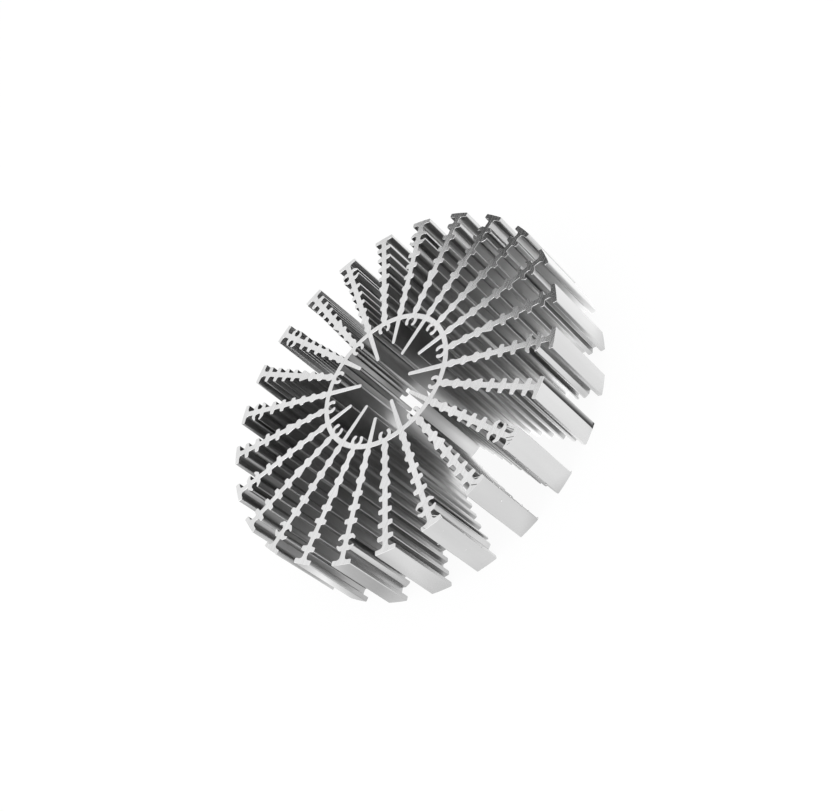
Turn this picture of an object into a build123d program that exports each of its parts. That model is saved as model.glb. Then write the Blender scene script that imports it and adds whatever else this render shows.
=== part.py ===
from build123d import *
import os

# Round extruded heat sink, sawn square from the bar and standing on one sawn end.
# The axis is Z, the origin is the centre of the lower end, and all sizes are in millimetres.

# Whole extrusion
tip_diameter = 160.0
length = 34.0
fin_pairs = 12

# Hub ring
ring_diameter = 62.0
ring_wall = 2.3

# Fin web, and the cap on its tip
web_thickness = 2.4
cap_width = 9.2
cap_thickness = 2.1
cap_flare = 0.8

# Ribs on both sides of a web: soft swellings near the ring, then crossbars
swelling_count = 3
swelling_base = 3.2
swelling_crest = 1.4
crossbar_count = 5
crossbar_base = 2.5
crossbar_crest = 1.9
first_rib_offset = 2.3
last_rib_offset = 6.4
first_rib_width = 3.6
last_rib_width = 7.3
wedge_length = 3.8

# Screw grooves between the last two ribs of a grooved fin, one on each side of its web
groove_diameter = 2.9
groove_flats = 16
groove_mouth = 2.1
groove_web = 2.1
groove_block_width = 8.4
groove_block_height = 6.8
groove_block_corner = 1.5

# Screw bosses inside the ring, in line with the plain fins
boss_hole_diameter = 2.9
boss_wall = 1.6
boss_mouth = 1.9
boss_hook_height = 2.1
boss_hole_bite = 0.1

# Straight fins inside the ring, in line with the grooved fins, long and short in turn
inner_fin_root = 2.3
inner_fin_tip = 1.6
inner_fin_corner = 0.4
long_fin_reach = 12.1
short_fin_reach = 17.2

# Places that follow from the sizes above
tip_radius = tip_diameter / 2
cap_seat = tip_radius - cap_thickness
ring_radius = ring_diameter / 2
bore_radius = ring_radius - ring_wall
ring_middle = ring_radius - ring_wall / 2
rib_count = swelling_count + crossbar_count
first_rib = ring_radius + first_rib_offset
last_rib = tip_radius - last_rib_offset
rib_pitch = (last_rib - first_rib) / (rib_count - 1)
rib_growth = (last_rib_width - first_rib_width) / (rib_count - 1)
groove_radius = last_rib - rib_pitch / 2
groove_offset = (groove_web + groove_diameter) / 2
boss_radius = bore_radius - boss_hole_diameter / 2 + boss_hole_bite
boss_width = boss_hole_diameter + 2 * boss_wall
pair_angle = 360 / fin_pairs
repeats = fin_pairs // 2
repeat_angle = 360 / repeats


def half_stem():
    """Upper half of the web from the ring wall to the cap, flared where it meets the cap."""
    return Polygon(
        (ring_middle, 0),
        (cap_seat, 0),
        (cap_seat, web_thickness / 2 + cap_flare),
        (cap_seat - cap_flare, web_thickness / 2),
        (ring_middle, web_thickness / 2),
        align=None,
        mode=Mode.PRIVATE,
    )


def half_rib(index, base_start, crest_start, crest_end, base_end):
    """Upper half of a rib, its four corners given along the fin from the rib's middle."""
    middle = first_rib + index * rib_pitch
    crest_height = (first_rib_width + index * rib_growth) / 2
    return Polygon(
        (middle + base_start, 0),
        (middle + base_end, 0),
        (middle + base_end, web_thickness / 2),
        (middle + crest_end, crest_height),
        (middle + crest_start, crest_height),
        (middle + base_start, web_thickness / 2),
        align=None,
        mode=Mode.PRIVATE,
    )


def half_swelling(index):
    """Soft rib near the ring."""
    return half_rib(index, -swelling_base / 2, -swelling_crest / 2, swelling_crest / 2, swelling_base / 2)


def half_crossbar(index):
    """Square rib further out."""
    return half_rib(index, -crossbar_base / 2, -crossbar_crest / 2, crossbar_crest / 2, crossbar_base / 2)


def half_wedge(index):
    """Crossbar that the web thickens into on its ring side."""
    return half_rib(index, -wedge_length, 0, crossbar_crest / 2, crossbar_base / 2)


def cap():
    """Cap on a fin's tip, flat inside and on the tip circle outside."""
    with BuildSketch(mode=Mode.PRIVATE) as shape:
        Circle(tip_radius)
        with Locations((cap_seat, 0)):
            Rectangle(cap_thickness, cap_width, align=(Align.MIN, Align.CENTER), mode=Mode.INTERSECT)
    return shape.sketch


def groove_block():
    """Block that stands in for the last two ribs and holds a round screw groove on each side."""
    with BuildSketch(mode=Mode.PRIVATE) as shape:
        with Locations((groove_radius, 0)):
            Rectangle(groove_block_height, groove_block_width)
        chamfer(shape.vertices(), groove_block_corner)
        with Locations((groove_radius, groove_offset)):
            RegularPolygon(groove_diameter / 2, groove_flats, major_radius=False, mode=Mode.SUBTRACT)
            Rectangle(
                groove_mouth, groove_block_width, align=(Align.CENTER, Align.MIN), mode=Mode.SUBTRACT
            )
        with Locations((groove_radius, -groove_offset)):
            RegularPolygon(groove_diameter / 2, groove_flats, major_radius=False, mode=Mode.SUBTRACT)
            Rectangle(
                groove_mouth, groove_block_width, align=(Align.CENTER, Align.MAX), mode=Mode.SUBTRACT
            )
    return shape.sketch


def boss():
    """Round screw boss on the ring's inner wall, cut off flat where its two hooks end."""
    with BuildSketch(mode=Mode.PRIVATE) as shape:
        with Locations((boss_radius, 0)):
            Circle(boss_width / 2)
        with Locations((boss_radius - boss_hook_height, 0)):
            Rectangle(
                ring_middle - boss_radius + boss_hook_height,
                boss_width,
                align=(Align.MIN, Align.CENTER),
                mode=Mode.INTERSECT,
            )
    return shape.sketch


def half_inner_fin(reach):
    """Upper half of a straight fin inside the ring, thinner at its free end, its corner broken."""
    return Polygon(
        (ring_middle, 0),
        (ring_middle, inner_fin_root / 2),
        (reach + inner_fin_corner, inner_fin_tip / 2),
        (reach, inner_fin_tip / 2 - inner_fin_corner),
        (reach, 0),
        align=None,
        mode=Mode.PRIVATE,
    )


with BuildSketch() as plain_fin:
    add(half_stem())
    add([half_swelling(index) for index in range(swelling_count)])
    add(half_wedge(swelling_count))
    add([half_crossbar(index) for index in range(swelling_count + 1, rib_count)])
    mirror(about=Plane.XZ)
    add(cap())
    add(boss())

with BuildSketch() as grooved_fin:
    add(half_stem())
    add([half_swelling(index) for index in range(swelling_count)])
    add([half_crossbar(index) for index in range(swelling_count, rib_count - 2)])
    mirror(about=Plane.XZ)
    add(cap())
    add(groove_block())

with BuildSketch() as long_fin:
    add(half_inner_fin(long_fin_reach))
    mirror(about=Plane.XZ)
    add(grooved_fin.sketch)

with BuildSketch() as short_fin:
    add(half_inner_fin(short_fin_reach))
    mirror(about=Plane.XZ)
    add(grooved_fin.sketch)

# The profile repeats after two plain and two grooved fins
with BuildSketch() as fin_group:
    with PolarLocations(0, 2, angular_range=repeat_angle):
        add(plain_fin.sketch)
    with PolarLocations(0, 1, start_angle=pair_angle / 2):
        add(long_fin.sketch)
    with PolarLocations(0, 1, start_angle=pair_angle * 3 / 2):
        add(short_fin.sketch)

with BuildPart() as heat_sink:
    with BuildSketch() as profile:
        Circle(ring_radius)
        Circle(bore_radius, mode=Mode.SUBTRACT)
        with PolarLocations(0, repeats):
            add(fin_group.sketch)
        with PolarLocations(boss_radius, fin_pairs):
            Circle(boss_hole_diameter / 2, mode=Mode.SUBTRACT)
            Rectangle(boss_width, boss_mouth, align=(Align.MAX, Align.CENTER), mode=Mode.SUBTRACT)
    extrude(amount=length)
heat_sink.part.label = "heat_sink"

os.makedirs("parts", exist_ok=True)
export_step(heat_sink.part, "parts/heat_sink.step")
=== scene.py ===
import logging
import math
from dataclasses import dataclass, field
from enum import Enum

import bmesh
import bpy
from mathutils import Matrix, Vector


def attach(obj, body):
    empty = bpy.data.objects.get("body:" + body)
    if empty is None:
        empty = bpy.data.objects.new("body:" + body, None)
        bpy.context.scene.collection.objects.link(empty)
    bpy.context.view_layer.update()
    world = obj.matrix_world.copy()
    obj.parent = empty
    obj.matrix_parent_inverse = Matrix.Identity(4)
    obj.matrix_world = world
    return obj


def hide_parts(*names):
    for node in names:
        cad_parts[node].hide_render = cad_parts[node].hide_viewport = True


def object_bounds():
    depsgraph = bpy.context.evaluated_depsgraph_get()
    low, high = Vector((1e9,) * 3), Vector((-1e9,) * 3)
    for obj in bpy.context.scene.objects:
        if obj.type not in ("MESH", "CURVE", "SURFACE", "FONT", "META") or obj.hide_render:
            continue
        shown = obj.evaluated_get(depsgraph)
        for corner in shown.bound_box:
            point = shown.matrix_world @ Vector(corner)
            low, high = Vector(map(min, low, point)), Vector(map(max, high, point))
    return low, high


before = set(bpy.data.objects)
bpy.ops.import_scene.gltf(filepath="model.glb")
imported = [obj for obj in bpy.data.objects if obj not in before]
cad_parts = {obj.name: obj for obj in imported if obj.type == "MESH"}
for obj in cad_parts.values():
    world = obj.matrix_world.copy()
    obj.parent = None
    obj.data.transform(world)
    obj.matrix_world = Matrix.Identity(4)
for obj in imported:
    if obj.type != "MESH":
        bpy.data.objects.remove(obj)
MM = 0.001
OBJECT_MIDDLE = Vector((0, 0, 17 * MM))
CAD_BOX = [list(corner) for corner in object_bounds()]
# Nearly all values of a noise pattern lie between these two
NOISE_BAND = (0.3, 0.7)
# A face belongs to an end where its normal rises more than this
END_RISE = 0.5
WHITE = (1, 1, 1, 1)
log = logging.getLogger("heat_sink")


class End(Enum):
    """Which sawn end of the extrusion is meant."""

    LOWER = -1
    UPPER = 1


class Corner(Enum):
    """Kinds of long corner on the extrusion, each with its own rounding."""

    RIB_CREST = "rib crest"
    RIB_ROOT = "rib root"
    CAP_RIM = "cap rim"
    CAP_ROOT = "cap root"
    GROOVE_LIP = "groove lip"
    HUB_TIP = "hub tip"
    HUB_ROOT = "hub root"


class Surface(Enum):
    """Kinds of surface on the extrusion, in the order of their material slots."""

    WALL = 0
    END = 1
    CAP_FACE = 2
    RIB_SIDE = 3


def deselect_all() -> None:
    """Leave no object selected, in object mode."""
    if bpy.context.object and bpy.context.object.mode != "OBJECT":
        bpy.ops.object.mode_set(mode="OBJECT")
    bpy.ops.object.select_all(action="DESELECT")


def make_active(thing: bpy.types.Object) -> None:
    """Select one object alone and make it the active one.

    Args:
        thing: The object to work on.
    """
    deselect_all()
    thing.select_set(True)
    bpy.context.view_layer.objects.active = thing


@dataclass
class NodeSheet:
    """A material's node tree with short calls for the nodes that a finish needs."""

    name: str
    material: bpy.types.Material = field(init=False)
    tree: bpy.types.NodeTree = field(init=False)
    output: bpy.types.Node = field(init=False)

    def __post_init__(self) -> None:
        """Make the material and its output node."""
        self.material = bpy.data.materials.new(self.name)
        self.material.use_nodes = True
        self.tree = self.material.node_tree
        self.tree.nodes.clear()
        self.output = self.tree.nodes.new("ShaderNodeOutputMaterial")

    def node(self, kind: str, **settings: object) -> bpy.types.Node:
        """Add a node.

        Args:
            kind: Blender's name of the node type.
            settings: Attributes to set on the node.

        Returns:
            The new node.
        """
        made = self.tree.nodes.new(kind)
        for key, value in settings.items():
            setattr(made, key, value)
        return made

    def wire(self, source: bpy.types.NodeSocket, target: bpy.types.NodeSocket) -> None:
        """Link two sockets."""
        self.tree.links.new(source, target)

    def place(
        self, scale: tuple[float, float, float], turn: tuple[float, float, float] = (0, 0, 0)
    ) -> bpy.types.NodeSocket:
        """Object coordinates, turned and scaled.

        Args:
            scale: Factor on each axis.
            turn: Turn about each axis in degrees.

        Returns:
            The vector socket of the mapping.
        """
        spot = self.node("ShaderNodeTexCoord")
        mapping = self.node("ShaderNodeMapping")
        mapping.inputs["Scale"].default_value = scale
        mapping.inputs["Rotation"].default_value = [math.radians(a) for a in turn]
        self.wire(spot.outputs["Object"], mapping.inputs["Vector"])
        return mapping.outputs["Vector"]

    def noise(
        self, vector: bpy.types.NodeSocket, scale: float, detail: float, rough: float = 0.5
    ) -> bpy.types.NodeSocket:
        """Noise pattern.

        Args:
            vector: Where the pattern is read.
            scale: Its cells per metre.
            detail: How many finer layers it has.
            rough: How strong the finer layers are.

        Returns:
            The factor socket.
        """
        made = self.node("ShaderNodeTexNoise")
        made.inputs["Scale"].default_value = scale
        made.inputs["Detail"].default_value = detail
        made.inputs["Roughness"].default_value = rough
        self.wire(vector, made.inputs["Vector"])
        return made.outputs["Fac"]

    def spread(
        self, factor: bpy.types.NodeSocket, low: float, high: float, start: float, end: float
    ) -> bpy.types.NodeSocket:
        """Map a factor from one range to another, held at its ends.

        Args:
            factor: The factor to map.
            low: Where the input range starts.
            high: Where the input range ends.
            start: What low becomes.
            end: What high becomes.

        Returns:
            The mapped value's socket.
        """
        made = self.node("ShaderNodeMapRange")
        made.inputs["From Min"].default_value = low
        made.inputs["From Max"].default_value = high
        made.inputs["To Min"].default_value = start
        made.inputs["To Max"].default_value = end
        self.wire(factor, made.inputs["Value"])
        return made.outputs["Result"]

    def calculate(
        self,
        operation: str,
        first: bpy.types.NodeSocket | float,
        second: bpy.types.NodeSocket | float | None = None,
    ) -> bpy.types.NodeSocket:
        """Do a sum on two sockets or numbers.

        Args:
            operation: Blender's name of the operation.
            first: A socket or a number.
            second: A socket or a number, where the operation has two.

        Returns:
            The result's socket.
        """
        made = self.node("ShaderNodeMath", operation=operation)
        for index, value in enumerate((first, second)):
            if isinstance(value, bpy.types.NodeSocket):
                self.wire(value, made.inputs[index])
            elif value is not None:
                made.inputs[index].default_value = value
        return made.outputs["Value"]

    def tint(
        self,
        factor: bpy.types.NodeSocket,
        dark: tuple[float, float, float],
        light: tuple[float, float, float],
    ) -> bpy.types.NodeSocket:
        """Colour between two tones.

        Args:
            factor: 0 gives the dark tone and 1 the light one.
            dark: Linear colour of the dark tone.
            light: Linear colour of the light tone.

        Returns:
            The colour socket.
        """
        made = self.node("ShaderNodeMix", data_type="RGBA")
        made.inputs["A"].default_value = (*dark, 1)
        made.inputs["B"].default_value = (*light, 1)
        self.wire(factor, made.inputs["Factor"])
        return made.outputs["Result"]

    def curve(
        self, factor: bpy.types.NodeSocket, points: tuple[tuple[float, float], ...]
    ) -> bpy.types.NodeSocket:
        """Map a factor from 0 to 1 through a curve.

        Args:
            factor: The factor to map.
            points: Place and value of each point of the curve, the first at 0 and the last at 1.

        Returns:
            The value's socket.
        """
        made = self.node("ShaderNodeFloatCurve")
        bend = made.mapping.curves[0]
        while len(bend.points) < len(points):
            bend.points.new(0.5, 0.5)
        for point, spot in zip(bend.points, points):
            point.location = spot
            point.handle_type = "VECTOR"
        made.mapping.update()
        self.wire(factor, made.inputs["Value"])
        return made.outputs["Value"]

    def bump(
        self, height: bpy.types.NodeSocket, depth: float, strength: float
    ) -> bpy.types.NodeSocket:
        """Bump from a height.

        Args:
            height: The height's socket.
            depth: Metres from a height of 0 to 1.
            strength: How much of the bump counts.

        Returns:
            The normal socket.
        """
        made = self.node("ShaderNodeBump")
        made.inputs["Strength"].default_value = strength
        made.inputs["Distance"].default_value = depth
        self.wire(height, made.inputs["Height"])
        return made.outputs["Normal"]

    def metal(self) -> bpy.types.Node:
        """Add a bare metal shader and give it to the surface.

        Returns:
            The shader node.
        """
        made = self.node("ShaderNodeBsdfPrincipled")
        made.inputs["Metallic"].default_value = 1.0
        self.wire(made.outputs["BSDF"], self.output.inputs["Surface"])
        return made


@dataclass(frozen=True)
class ExtrudedFinish:
    """Mill finish that the die leaves: satin, with fine lines along the extrusion."""

    name: str = "extruded_aluminium"
    dark: tuple[float, float, float] = (0.44, 0.44, 0.44)
    light: tuple[float, float, float] = (0.47, 0.47, 0.47)
    roughness: tuple[float, float] = (0.34, 0.36)
    streak_scale: float = 500.0
    line_scale: float = 1800.0
    line_stretch: float = 0.012
    cloud_scale: float = 60.0
    cloud_share: float = 0.5
    tone_band: tuple[float, float] = (0.45, 1.05)

    def material(self) -> bpy.types.Material:
        """Build the material.

        Returns:
            The finished material.
        """
        sheet = NodeSheet(self.name)
        along = sheet.place((1, 1, self.line_stretch))
        streaks = sheet.noise(along, self.streak_scale, 3, 0.6)
        lines = sheet.noise(along, self.line_scale, 2, 0.6)
        cloud = sheet.noise(sheet.place((1, 1, 1)), self.cloud_scale, 2)
        mixed = sheet.calculate("ADD", streaks, sheet.calculate("MULTIPLY", cloud, self.cloud_share))
        tone = sheet.spread(mixed, *self.tone_band, 0, 1)
        shader = sheet.metal()
        sheet.wire(sheet.tint(tone, self.dark, self.light), shader.inputs["Base Color"])
        sheet.wire(sheet.spread(lines, *NOISE_BAND, *self.roughness), shader.inputs["Roughness"])
        return sheet.material


@dataclass(frozen=True)
class CapFinishWithPaintedReflection:
    """Smooth outer faces of the caps.

    The cap that lies on the X axis has a painted dark reflection along one edge, from
    reflection_start to reflection_end on Y. Across it the painted reflection has
    reflection_tones, and near the floor it ends in a darker blot, set by reflection_floor_fade
    and reflection_floor_tone. Faces nearer to the Y axis than reflection_side have no painted
    reflection.
    """

    dark: tuple[float, float, float] = (0.42, 0.42, 0.42)
    light: tuple[float, float, float] = (0.45, 0.45, 0.45)
    roughness: float = 0.30
    cloud_scale: float = 150.0
    cloud_stretch: float = 0.1
    # Place, tones across and darkening near the floor of the painted dark reflection on one cap
    reflection_start: float = 2.05 * MM
    reflection_end: float = 4.60 * MM
    reflection_tones: tuple[tuple[float, float], ...] = (
        (0.0, 1.0),
        (0.07, 0.05),
        (0.35, 0.09),
        (0.65, 0.40),
        (1.0, 0.95),
    )
    reflection_side: float = 50.0 * MM
    reflection_floor_fade: tuple[float, float] = (0.8 * MM, 1.9 * MM)
    reflection_floor_tone: float = 0.10

    def material(self) -> bpy.types.Material:
        """Build the material.

        Returns:
            The finished material.
        """
        sheet = NodeSheet("rubbed_aluminium_with_painted_reflection")
        cloud = sheet.noise(sheet.place((1, 1, self.cloud_stretch)), self.cloud_scale, 2)
        clean = sheet.tint(sheet.spread(cloud, *NOISE_BAND, 0, 1), self.dark, self.light)
        spot = sheet.node("ShaderNodeSeparateXYZ")
        sheet.wire(sheet.place((1, 1, 1)), spot.inputs["Vector"])
        # Painted dark reflection along one edge of the cap on the X axis, darker still near the
        # floor
        across = sheet.spread(spot.outputs["Y"], self.reflection_start, self.reflection_end, 0, 1)
        painted_reflection = sheet.curve(across, self.reflection_tones)
        darker_near_floor = sheet.spread(spot.outputs["Z"], *self.reflection_floor_fade, self.reflection_floor_tone, 1)
        middle = (self.reflection_start + self.reflection_end) / 2
        off = sheet.calculate("ABSOLUTE", sheet.calculate("SUBTRACT", spot.outputs["Y"], middle))
        beside = sheet.calculate("GREATER_THAN", off, middle - self.reflection_start)
        reflection_tone = sheet.calculate("MINIMUM", painted_reflection, sheet.calculate("MAXIMUM", darker_near_floor, beside))
        elsewhere = sheet.calculate("LESS_THAN", spot.outputs["X"], self.reflection_side)
        with_reflection = sheet.node("ShaderNodeVectorMath", operation="SCALE")
        sheet.wire(clean, with_reflection.inputs[0])
        sheet.wire(sheet.calculate("MAXIMUM", reflection_tone, elsewhere), with_reflection.inputs["Scale"])
        shader = sheet.metal()
        shader.inputs["Roughness"].default_value = self.roughness
        sheet.wire(with_reflection.outputs["Vector"], shader.inputs["Base Color"])
        return sheet.material


@dataclass(frozen=True)
class SawnFinish:
    """Bright end grain that the saw leaves: fine parallel marks across the whole profile."""

    dark: tuple[float, float, float] = (0.67, 0.67, 0.67)
    light: tuple[float, float, float] = (0.83, 0.83, 0.83)
    roughness: tuple[float, float] = (0.15, 0.22)
    mark_turn: float = 24.0
    mark_scale: float = 1500.0
    mark_stretch: float = 0.02
    mark_depth: float = 0.03 * MM
    mark_strength: float = 0.4
    cloud_scale: float = 45.0
    tone_band: tuple[float, float] = (0.7, 1.3)

    def material(self) -> bpy.types.Material:
        """Build the material.

        Returns:
            The finished material.
        """
        sheet = NodeSheet("sawn_aluminium")
        across = sheet.place((1, self.mark_stretch, 1), (0, 0, self.mark_turn))
        marks = sheet.noise(across, self.mark_scale, 3, 0.6)
        cloud = sheet.noise(sheet.place((1, 1, 1)), self.cloud_scale, 3)
        tone = sheet.spread(sheet.calculate("ADD", marks, cloud), *self.tone_band, 0, 1)
        height = sheet.bump(marks, self.mark_depth, self.mark_strength)
        shader = sheet.metal()
        sheet.wire(sheet.tint(tone, self.dark, self.light), shader.inputs["Base Color"])
        sheet.wire(sheet.spread(marks, *NOISE_BAND, *self.roughness), shader.inputs["Roughness"])
        sheet.wire(height, shader.inputs["Normal"])
        return sheet.material


@dataclass(frozen=True)
class Mark:
    """A small mark of wear on one fin, in degrees and millimetres.

    Attributes:
        fin: Angle of the fin.
        along: How far from the axis the mark is.
        across: How far beside the fin's middle it is.
        height: How far above the floor it is.
        size: Radius of the rough ball that makes it.
    """

    fin: float
    along: float
    across: float
    height: float
    size: float

    def spot(self) -> Vector:
        """Where the mark is.

        Returns:
            Its place on the object.
        """
        turn = Matrix.Rotation(math.radians(self.fin), 4, "Z")
        return turn @ Vector((self.along, self.across, self.height)) * MM

    def add(self) -> None:
        """Add the ball, as an object of its own or to the mesh that is being edited."""
        bpy.ops.mesh.primitive_ico_sphere_add(
            subdivisions=1, radius=self.size * MM, location=self.spot()
        )


@dataclass(frozen=True)
class Sliver:
    """A thin strip at the upper end of one fin, in degrees and millimetres.

    Attributes:
        fin: Angle of the fin.
        start: Where the strip starts, along the fin and across it.
        end: Where it ends.
        width: Its width.
    """

    fin: float
    start: tuple[float, float]
    end: tuple[float, float]
    width: float

    def add(self, top: float, thickness: float) -> None:
        """Add the strip to the mesh that is being edited.

        Args:
            top: Height of its upper face in millimetres.
            thickness: Its height in millimetres.
        """
        run = Vector(self.end) - Vector(self.start)
        middle = (Vector(self.end) + Vector(self.start)) / 2
        turn = math.radians(self.fin)
        spot = Matrix.Rotation(turn, 4, "Z") @ Vector((*middle, top - thickness / 2))
        bpy.ops.mesh.primitive_cube_add(
            size=1,
            location=spot * MM,
            rotation=(0, 0, turn + math.atan2(run.y, run.x)),
            scale=(run.length * MM, self.width * MM, thickness * MM),
        )


@dataclass(frozen=True)
class Wear:
    """What sawing and handling leave: nicks, lumps on edges, cracks and torn burrs.

    The nicks and cracks are cut into the piece, and the lumps and burrs are added to it. All
    sizes are in millimetres. The upper faces of the burrs lie burr_drop below the sawn end.
    """

    nicks: tuple[Mark, ...] = (
        Mark(-30, 80.40, 1.55, 20.4, 0.70),
        Mark(-30, 79.85, -4.75, 33.6, 0.50),
        Mark(-45, 79.60, 4.60, 33.9, 0.50),
        Mark(-45, 80.32, 0.80, 28.5, 0.50),
        Mark(-45, 80.32, 0.15, 13.8, 0.50),
        Mark(-15, 80.30, -1.90, 9.4, 0.45),
    )
    lumps: tuple[Mark, ...] = (
        Mark(-30, 79.70, 4.72, 28.6, 0.28),
        Mark(-30, 79.70, 4.78, 24.9, 0.36),
        Mark(-30, 79.65, 4.70, 22.6, 0.24),
        Mark(-30, 79.70, 4.80, 18.2, 0.38),
        Mark(-30, 79.70, 4.72, 14.8, 0.26),
        Mark(-30, 79.65, 4.80, 10.9, 0.36),
        Mark(-30, 79.70, 4.74, 6.7, 0.30),
        Mark(-30, 79.60, 4.70, 0.6, 0.40),
        Mark(-15, 79.70, -4.76, 27.4, 0.30),
        Mark(-15, 79.70, -4.80, 19.8, 0.34),
        Mark(-15, 79.65, -4.72, 13.1, 0.26),
        Mark(-15, 79.70, -4.80, 8.0, 0.36),
        Mark(-15, 79.60, 4.68, 0.6, 0.40),
        Mark(-45, 79.70, 4.72, 20.3, 0.28),
        Mark(-45, 79.65, 4.76, 9.2, 0.32),
        Mark(-45, 79.70, -4.74, 24.0, 0.30),
    )
    cracks: tuple[Sliver, ...] = (
        Sliver(-15, (76.6, -0.8), (79.7, 0.9), 0.24),
        Sliver(-15, (78.0, -1.5), (79.8, -0.4), 0.22),
        Sliver(-15, (79.0, -2.9), (79.7, -1.7), 0.18),
        Sliver(-30, (77.8, -1.0), (79.7, 0.7), 0.32),
        Sliver(-45, (78.4, -3.6), (79.7, -2.8), 0.22),
    )
    burrs: tuple[Sliver, ...] = (
        Sliver(-15, (73.9, 3.9), (78.0, 4.3), 0.60),
        Sliver(-15, (73.9, 3.2), (78.0, 3.5), 0.50),
        Sliver(-15, (73.9, 2.5), (78.0, 2.7), 0.35),
        Sliver(-30, (73.9, -4.0), (78.0, -4.2), 0.80),
        Sliver(-30, (73.9, -3.4), (78.0, -3.3), 0.25),
        Sliver(-30, (76.2, 1.1), (78.0, 3.2), 0.25),
        Sliver(-45, (76.0, 1.0), (78.1, 3.4), 0.30),
    )
    crack_depth: float = 0.6
    burr_thickness: float = 0.12
    burr_drop: float = 0.01

    def cut(self, piece: bpy.types.Object, top: float) -> None:
        """Cut the nicks and the cracks into a piece.

        Args:
            piece: The piece to cut.
            top: Height of its upper end in millimetres.
        """
        deselect_all()
        first, *others = self.nicks
        first.add()
        cutter = bpy.context.object
        bpy.ops.object.transform_apply(location=True)
        bpy.ops.object.mode_set(mode="EDIT")
        for nick in others:
            nick.add()
        clear = self.crack_depth / 2
        for crack in self.cracks:
            crack.add(top + clear, self.crack_depth + clear)
        bpy.ops.object.mode_set(mode="OBJECT")
        make_active(piece)
        bpy.ops.object.modifier_add(type="BOOLEAN")
        boolean = piece.modifiers[-1]
        boolean.operation = "DIFFERENCE"
        boolean.solver = "EXACT"
        boolean.object = cutter
        bpy.ops.object.modifier_apply(modifier=boolean.name)
        make_active(cutter)
        bpy.ops.object.delete()
        make_active(piece)

    def tear(self, top: float) -> None:
        """Add the torn burrs and the lumps on edges to the piece that is being edited.

        Args:
            top: Height of its upper end in millimetres.
        """
        for burr in self.burrs:
            burr.add(top - self.burr_drop, self.burr_thickness)
        for lump in self.lumps:
            lump.add()


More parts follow.
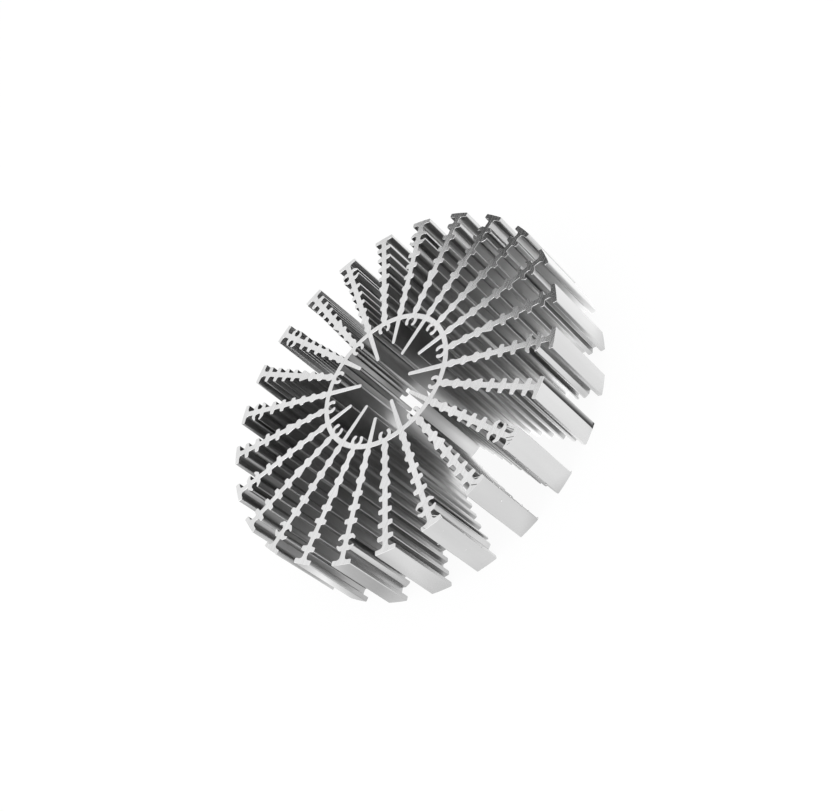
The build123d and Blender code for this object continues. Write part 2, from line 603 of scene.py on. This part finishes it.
@dataclass
class Extrusion:
    """The whole heat sink: the frame's plain profile with its corners rounded and its ends sawn.

    Sizes are in metres and angles in degrees. Each pair in tight_shares is a share of a corner's
    full rounding and the next share up. A corner gets the largest share that is spare_share
    times narrower than the walls beside it.
    """

    node: str = "heat_sink"
    name: str = "ribbed_extrusion"
    fin_step: float = 15.0
    merge: float = 0.002 * MM
    flat_angle: float = 0.5
    ring_radius: float = 31.0 * MM
    ring_root_zone: float = 0.6 * MM
    groove_start: float = 66.5 * MM
    cap_seat: float = 77.9 * MM
    cap_root_zone: float = 1.2 * MM
    margin: float = 0.5 * MM
    long_edge: float = 10.0 * MM
    sharp_angle: float = 25.0
    saw_break: float = 0.10 * MM
    saw_slope: float = 0.8
    smooth_angle: float = 32.0
    corner_weight: int = 100
    tight_shares: tuple[tuple[float, float], ...] = ((0.3, 0.6), (0.6, 1.0), (1.0, math.inf))
    spare_share: float = 1.04
    rounding: dict[Corner, tuple[float, int]] = field(
        default_factory=lambda: {
            Corner.RIB_CREST: (0.45 * MM, 3),
            Corner.RIB_ROOT: (0.40 * MM, 2),
            Corner.CAP_RIM: (0.40 * MM, 3),
            Corner.CAP_ROOT: (0.50 * MM, 2),
            Corner.GROOVE_LIP: (0.22 * MM, 2),
            Corner.HUB_TIP: (0.25 * MM, 2),
            Corner.HUB_ROOT: (0.50 * MM, 3),
        }
    )
    walls: ExtrudedFinish = ExtrudedFinish()
    ends: SawnFinish = SawnFinish()
    cap_faces: CapFinishWithPaintedReflection = CapFinishWithPaintedReflection()
    # Darker copy of the wall finish: painted shade on the faces that look along the fins, between
    # the ring and the caps
    rib_sides: ExtrudedFinish = ExtrudedFinish(
        "shaded_aluminium", dark=(0.31, 0.31, 0.31), light=(0.35, 0.35, 0.35)
    )
    cap_share: float = 0.5
    side_share: float = 0.8
    wear: Wear = Wear()
    piece: bpy.types.Object | None = field(default=None, init=False)

    def build(self) -> bpy.types.Object:
        """Make the piece and put it in the node's place.

        Returns:
            The finished object.
        """
        self.piece = self._copy_profile()
        self._open_ends()
        for corner, (width, segments) in self.rounding.items():
            self._round(corner, width, segments)
        for end in End:
            self._close_end(end)
        self._wear_down()
        self._dress()
        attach(self.piece, "root")
        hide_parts(self.node)
        return self.piece

    def _copy_profile(self) -> bpy.types.Object:
        """Copy the node's mesh as a piece of its own and merge its loose triangles.

        Returns:
            The copy.
        """
        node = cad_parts[self.node]
        make_active(node)
        bpy.ops.object.duplicate()
        piece = bpy.context.object
        piece.parent = None
        for key in list(piece.keys()):
            del piece[key]
        piece.name = self.name
        piece.data.name = self.name
        make_active(piece)
        bpy.ops.object.mode_set(mode="EDIT")
        bpy.ops.mesh.customdata_custom_splitnormals_clear()
        bpy.ops.mesh.select_all(action="SELECT")
        bpy.ops.mesh.remove_doubles(threshold=self.merge)
        bpy.ops.mesh.mark_sharp(clear=True)
        bpy.ops.mesh.select_all(action="DESELECT")
        return piece

    def _open_ends(self) -> None:
        """Take off both flat ends, so that only the long walls are left, as four-sided faces."""
        bpy.ops.mesh.select_mode(type="FACE")
        mesh = bmesh.from_edit_mesh(self.piece.data)
        mesh.normal_update()
        for face in mesh.faces:
            face.select_set(abs(face.normal.z) > END_RISE)
        bmesh.update_edit_mesh(self.piece.data)
        bpy.ops.mesh.delete(type="ONLY_FACE")
        bpy.ops.mesh.select_all(action="SELECT")
        bpy.ops.mesh.dissolve_limited(angle_limit=math.radians(self.flat_angle))
        bpy.ops.mesh.select_all(action="DESELECT")
        bpy.ops.mesh.select_mode(type="EDGE")

    def _kind(self, edge: bmesh.types.BMEdge) -> Corner | None:
        """Tell which kind of corner a long edge is.

        Args:
            edge: An edge of the open walls.

        Returns:
            Its kind, or None for an edge that stays as it is.
        """
        first, second = (v.co for v in edge.verts)
        if abs(first.z - second.z) < self.long_edge or len(edge.link_faces) != 2:
            return None
        bend = math.degrees(edge.calc_face_angle_signed())
        if abs(bend) < self.sharp_angle:
            return None
        radius = math.hypot(first.x, first.y)
        turn = math.degrees(math.atan2(first.y, first.x))
        fin = round(turn / self.fin_step)
        along = radius * math.cos(math.radians(turn - fin * self.fin_step))
        if radius < self.ring_radius - self.margin:
            return Corner.HUB_TIP if bend > 0 else Corner.HUB_ROOT
        if along > self.cap_seat - self.cap_root_zone:
            return Corner.CAP_RIM if bend > 0 else Corner.CAP_ROOT
        if along < self.ring_radius + self.ring_root_zone:
            return Corner.HUB_ROOT
        grooved = fin % 2 == 1
        if grooved and along > self.groove_start:
            return Corner.GROOVE_LIP if bend > 0 else None
        return Corner.RIB_CREST if bend > 0 else Corner.RIB_ROOT

    def _room(self, edge: bmesh.types.BMEdge, corners: set[bmesh.types.BMEdge]) -> float:
        """How far a rounding can reach at a long edge.

        Args:
            edge: The edge to round.
            corners: All edges that are rounded with it.

        Returns:
            The narrower wall's width, shared with the corner on its other side.
        """
        rooms = []
        for wall in edge.link_faces:
            width = min(side.calc_length() for side in wall.edges)
            rooms.append(width / sum(side in corners for side in wall.edges))
        return min(rooms)

    def _round(self, corner: Corner, width: float, segments: int) -> None:
        """Round every long corner of one kind, and less where a wall beside it is narrow.

        Args:
            corner: The kind of corner.
            width: How far the rounding reaches along each wall.
            segments: Facets in the rounding.
        """
        for share, wider in self.tight_shares:
            mesh = bmesh.from_edit_mesh(self.piece.data)
            mesh.normal_update()
            corners = {edge for edge in mesh.edges if self._kind(edge) is corner}
            reach = share * width
            low = self.spare_share * reach
            high = self.spare_share * wider * width
            chosen = [edge for edge in corners if low <= self._room(edge, corners) < high]
            if not chosen:
                continue
            for edge in chosen:
                edge.select_set(True)
            bmesh.update_edit_mesh(self.piece.data)
            log.info("%s: %d edges rounded by %.2f mm", corner.value, len(chosen), reach / MM)
            bpy.ops.mesh.bevel(
                offset=reach, offset_type="OFFSET", segments=segments, profile=0.5, affect="EDGES"
            )
            bpy.ops.mesh.select_all(action="DESELECT")

    def _close_end(self, end: End) -> None:
        """Break the sawn edge a little and close the end flat.

        Args:
            end: The end to close.
        """
        mesh = bmesh.from_edit_mesh(self.piece.data)
        middle = sum(corner[2] for corner in CAD_BOX) / 2
        for edge in mesh.edges:
            low = min(v.co.z for v in edge.verts)
            high = max(v.co.z for v in edge.verts)
            here = low > middle if end is End.UPPER else high < middle
            edge.select_set(edge.is_boundary and here)
        bmesh.update_edit_mesh(self.piece.data)
        step = self.saw_break * end.value
        bpy.ops.transform.translate(value=(0, 0, -step))
        bpy.ops.mesh.extrude_edges_move(TRANSFORM_OT_translate={"value": (0, 0, step)})
        bpy.ops.transform.shrink_fatten(value=-self.saw_break * self.saw_slope, use_even_offset=True)
        bpy.ops.mesh.fill(use_beauty=True)
        bpy.ops.mesh.select_all(action="DESELECT")

    def _wear_down(self) -> None:
        """Cut and add the marks of wear at the upper end and on the caps."""
        top = max(corner[2] for corner in CAD_BOX) / MM
        bpy.ops.object.mode_set(mode="OBJECT")
        self.wear.cut(self.piece, top)
        bpy.ops.object.mode_set(mode="EDIT")
        self.wear.tear(top)
        bpy.ops.mesh.select_all(action="DESELECT")

    def _surface(self, face: bpy.types.MeshPolygon) -> Surface:
        """Tell which kind of surface a face belongs to.

        Args:
            face: A face of the finished mesh.

        Returns:
            Its kind.
        """
        spot = face.center.xy
        outward = face.normal.xy.dot(spot.normalized())
        if abs(face.normal.z) > END_RISE:
            return Surface.END
        if outward > self.cap_share and spot.length > self.cap_seat + 2 * self.margin:
            return Surface.CAP_FACE
        between = self.ring_radius + 2 * self.margin < spot.length < self.cap_seat - self.margin
        if between and abs(outward) > self.side_share:
            return Surface.RIB_SIDE
        return Surface.WALL

    def _dress(self) -> None:
        """Turn all faces outwards, shade them and give each kind of surface its finish."""
        bpy.ops.mesh.select_all(action="SELECT")
        bpy.ops.mesh.normals_make_consistent(inside=False)
        bpy.ops.mesh.select_all(action="DESELECT")
        bpy.ops.object.mode_set(mode="OBJECT")
        bpy.ops.object.shade_smooth_by_angle(angle=math.radians(self.smooth_angle))
        mesh = self.piece.data
        mesh.materials.clear()
        for finish in (self.walls, self.ends, self.cap_faces, self.rib_sides):
            mesh.materials.append(finish.material())
        for face in mesh.polygons:
            face.material_index = self._surface(face).value
        bpy.ops.object.modifier_add(type="WEIGHTED_NORMAL")
        weighted = self.piece.modifiers[-1]
        weighted.keep_sharp = True
        weighted.weight = self.corner_weight
        bpy.ops.object.modifier_apply(modifier=weighted.name)


@dataclass(frozen=True)
class Card:
    """A studio card that the metal mirrors and the camera doesn't see.

    Attributes:
        name: Its name.
        spot: Where it stands before it slides.
        edge: Direction that its long side follows.
        slide: How far it slides, along its long side and its short side.
        length: Its length.
        height: Its height.
        tone: How bright it is.
    """

    name: str
    spot: tuple[float, float, float]
    edge: tuple[float, float, float]
    slide: tuple[float, float]
    length: float
    height: float
    tone: float

    def stand(self) -> None:
        """Stand the card so that it faces the object."""
        deselect_all()
        bpy.ops.mesh.primitive_plane_add(size=1, location=self.spot)
        card = bpy.context.object
        card.name = self.name
        facing = (OBJECT_MIDDLE - Vector(self.spot)).normalized()
        side = facing.cross(Vector(self.edge)).normalized()
        long_side = side.cross(facing)
        card.rotation_euler = Matrix((long_side, side, facing)).transposed().to_euler()
        card.location += self.slide[0] * long_side + self.slide[1] * side
        card.scale = (self.length, self.height, 1)
        card.visible_camera = card.visible_shadow = card.visible_diffuse = False
        sheet = NodeSheet(self.name)
        paper = sheet.node("ShaderNodeEmission")
        paper.inputs["Color"].default_value = (self.tone, self.tone, self.tone, 1)
        sheet.wire(paper.outputs["Emission"], sheet.output.inputs["Surface"])
        card.data.materials.append(sheet.material)


@dataclass(frozen=True)
class Shade:
    """A soft round patch of the floor, seen only where the metal mirrors the floor.

    Attributes:
        spot: Its middle.
        near: Radius up to which it has its full tone.
        far: Radius from which the floor is plain again.
        share: Its tone as a share of the plain floor's. It is a light patch where this is over 1.
    """

    spot: tuple[float, float, float]
    near: float
    far: float
    share: float


@dataclass(frozen=True)
class Lamp:
    """A soft square lamp that points at the object, in metres and watts."""

    name: str
    spot: tuple[float, float, float]
    size: float
    power: float

    def hang(self) -> None:
        """Hang the lamp in its place."""
        deselect_all()
        bpy.ops.object.light_add(type="AREA", location=self.spot)
        lamp = bpy.context.object
        lamp.name = self.name
        lamp.data.size = self.size
        lamp.data.energy = self.power
        aim = OBJECT_MIDDLE - Vector(self.spot)
        lamp.rotation_euler = aim.to_track_quat("-Z", "Y").to_euler()


@dataclass
class Studio:
    """Plain pale floor, white surroundings and soft lamps.

    The metal mirrors the floor at mirror_light, with the shades on it. The camera sees the floor
    as white, apart from the share beyond clear_share, which keeps the object's shadow.
    """

    floor_size: float = 6.0
    floor_tone: float = 0.9
    fill: float = 1.2
    clear_share: float = 0.94
    mirror_light: float = 1.8
    shades: tuple[Shade, ...] = (
        Shade((-0.082, -0.027, 0.0), 0.028, 0.050, 0.12),
        Shade((-0.053, -0.048, 0.0), 0.012, 0.032, 0.28),
        Shade((-0.055, -0.095, 0.0), 0.012, 0.032, 0.45),
        Shade((-0.072, 0.045, 0.0), 0.015, 0.042, 0.55),
        Shade((-0.006, 0.000, 0.0), 0.014, 0.045, 0.78),
        Shade((-0.020, 0.013, 0.0), 0.006, 0.022, 0.40),
        Shade((0.063, -0.026, 0.0), 0.006, 0.020, 0.55),
        Shade((0.020, -0.055, 0.0), 0.015, 0.040, 0.65),
        Shade((-0.020, -0.055, 0.0), 0.010, 0.035, 0.60),
        Shade((-0.025, 0.060, 0.0), 0.020, 0.045, 0.50),
        Shade((0.006, -0.100, 0.0), 0.014, 0.032, 0.50),
        Shade((0.080, -0.070, 0.0), 0.030, 0.060, 0.88),
        Shade((0.041, 0.036, 0.0), 0.010, 0.028, 1.85),
        Shade((0.060, 0.036, 0.0), 0.005, 0.016, 0.60),
        Shade((0.053, 0.008, 0.0), 0.008, 0.022, 1.65),
        Shade((0.071, 0.009, 0.0), 0.004, 0.014, 0.70),
        Shade((-0.094, -0.058, 0.0), 0.015, 0.034, 0.22),
        Shade((-0.070, -0.094, 0.0), 0.010, 0.024, 0.45),
        Shade((-0.112, -0.020, 0.0), 0.012, 0.030, 0.45),
        Shade((-0.007, -0.026, 0.0), 0.006, 0.016, 0.45),
        Shade((0.006, -0.008, 0.0), 0.005, 0.012, 0.55),
    )
    cards: tuple[Card, ...] = (
        Card(
            "dark_card",
            spot=(-0.215, 0.465, 0.4345),
            edge=(-0.563, 0.394, -0.728),
            slide=(0.045, -0.187),
            length=0.43,
            height=0.154,
            tone=0.06,
        ),
    )
    lamps: tuple[Lamp, ...] = (
        Lamp("key_lamp", (0.2, -0.9, 1.0), 0.8, 2.0),
        Lamp("fill_lamp", (-0.2, -0.9, 0.6), 0.8, 1.0),
    )

    def build(self) -> None:
        """Make the floor, the surroundings, the lamps and the cards."""
        self._floor()
        self._world()
        for lamp in self.lamps:
            lamp.hang()
        for card in self.cards:
            card.stand()

    def _floor(self) -> None:
        """Lay the floor, and give it a plain paper and the patches that the metal mirrors."""
        deselect_all()
        bpy.ops.mesh.primitive_plane_add(size=self.floor_size, location=(0, 0, 0))
        floor = bpy.context.object
        floor.name = "floor"
        sheet = NodeSheet("floor_paper")
        paper = sheet.node("ShaderNodeBsdfDiffuse")
        paper.inputs["Color"].default_value = (self.floor_tone, self.floor_tone, self.floor_tone, 1)
        glow = sheet.node("ShaderNodeEmission")
        glow.inputs["Color"].default_value = WHITE
        path = sheet.node("ShaderNodeLightPath")
        camera_ray = path.outputs["Is Camera Ray"]
        glossy_ray = path.outputs["Is Glossy Ray"]
        mirrored = sheet.calculate("MAXIMUM", glossy_ray, path.outputs["Is Transmission Ray"])
        spot = sheet.node("ShaderNodeTexCoord")
        light = self.mirror_light
        for shade in self.shades:
            gap = sheet.node("ShaderNodeVectorMath", operation="DISTANCE")
            gap.inputs[1].default_value = shade.spot
            sheet.wire(spot.outputs["Object"], gap.inputs[0])
            part = sheet.spread(gap.outputs["Value"], shade.near, shade.far, shade.share, 1)
            light = sheet.calculate("MULTIPLY", part, light)
        mirrored_light = sheet.calculate("MULTIPLY", light, mirrored)
        sheet.wire(sheet.calculate("ADD", mirrored_light, camera_ray), glow.inputs["Strength"])
        seen = sheet.calculate("MULTIPLY", camera_ray, self.clear_share)
        share = sheet.calculate("MAXIMUM", seen, mirrored)
        mix = sheet.node("ShaderNodeMixShader")
        sheet.wire(share, mix.inputs["Fac"])
        sheet.wire(paper.outputs["BSDF"], mix.inputs[1])
        sheet.wire(glow.outputs["Emission"], mix.inputs[2])
        sheet.wire(mix.outputs["Shader"], sheet.output.inputs["Surface"])
        floor.data.materials.append(sheet.material)

    def _world(self) -> None:
        """Surround the scene with white for the eye and a plain fill for the light."""
        world = bpy.data.worlds.new("studio")
        bpy.context.scene.world = world
        world.use_nodes = True
        tree = world.node_tree
        tree.nodes.clear()
        path = tree.nodes.new("ShaderNodeLightPath")
        seen = path.outputs["Is Camera Ray"]
        for kind in ("Is Glossy Ray", "Is Transmission Ray"):
            either = tree.nodes.new("ShaderNodeMath")
            either.operation = "MAXIMUM"
            tree.links.new(seen, either.inputs[0])
            tree.links.new(path.outputs[kind], either.inputs[1])
            seen = either.outputs[0]
        strength = tree.nodes.new("ShaderNodeMapRange")
        strength.inputs["To Min"].default_value = self.fill
        strength.inputs["To Max"].default_value = 1.0
        tree.links.new(seen, strength.inputs["Value"])
        sky = tree.nodes.new("ShaderNodeBackground")
        sky.inputs["Color"].default_value = WHITE
        tree.links.new(strength.outputs["Result"], sky.inputs["Strength"])
        out = tree.nodes.new("ShaderNodeOutputWorld")
        tree.links.new(sky.outputs["Background"], out.inputs["Surface"])


@dataclass
class PhotoCamera:
    """Camera at the photograph's viewing angle, in metres and degrees.

    The lens and the sensor are in millimetres.
    """

    spot: tuple[float, float, float] = (0.370915, -0.163868, 0.337975)
    turn: tuple[float, float, float] = (38.2211, 37.1978, 28.6205)
    lens: float = 55.477
    sensor: float = 36.0
    clip_start: float = 0.01

    def build(self) -> bpy.types.Object:
        """Make the camera and look through it.

        Returns:
            The camera.
        """
        deselect_all()
        bpy.ops.object.camera_add(location=self.spot, rotation=[math.radians(a) for a in self.turn])
        camera = bpy.context.object
        camera.name = "photo_camera"
        camera.data.lens = self.lens
        camera.data.sensor_width = self.sensor
        camera.data.clip_start = self.clip_start
        bpy.context.scene.camera = camera
        return camera


def main() -> None:
    """Build everything in order and report it."""
    logging.basicConfig(level=logging.INFO, format="%(name)s: %(message)s")
    bpy.context.scene.view_settings.view_transform = "Standard"
    PhotoCamera().build()
    Studio().build()
    piece = Extrusion().build()
    solid = bmesh.new()
    solid.from_mesh(piece.data)
    gaps = sum(edge.is_boundary for edge in solid.edges)
    log.info("%s: %d faces, %d open edges", piece.name, len(solid.faces), gaps)
    log.info("%s: %.0f cubic millimetres", piece.name, solid.calc_volume() / MM**3)
    solid.free()


if __name__ == "__main__":
    main()
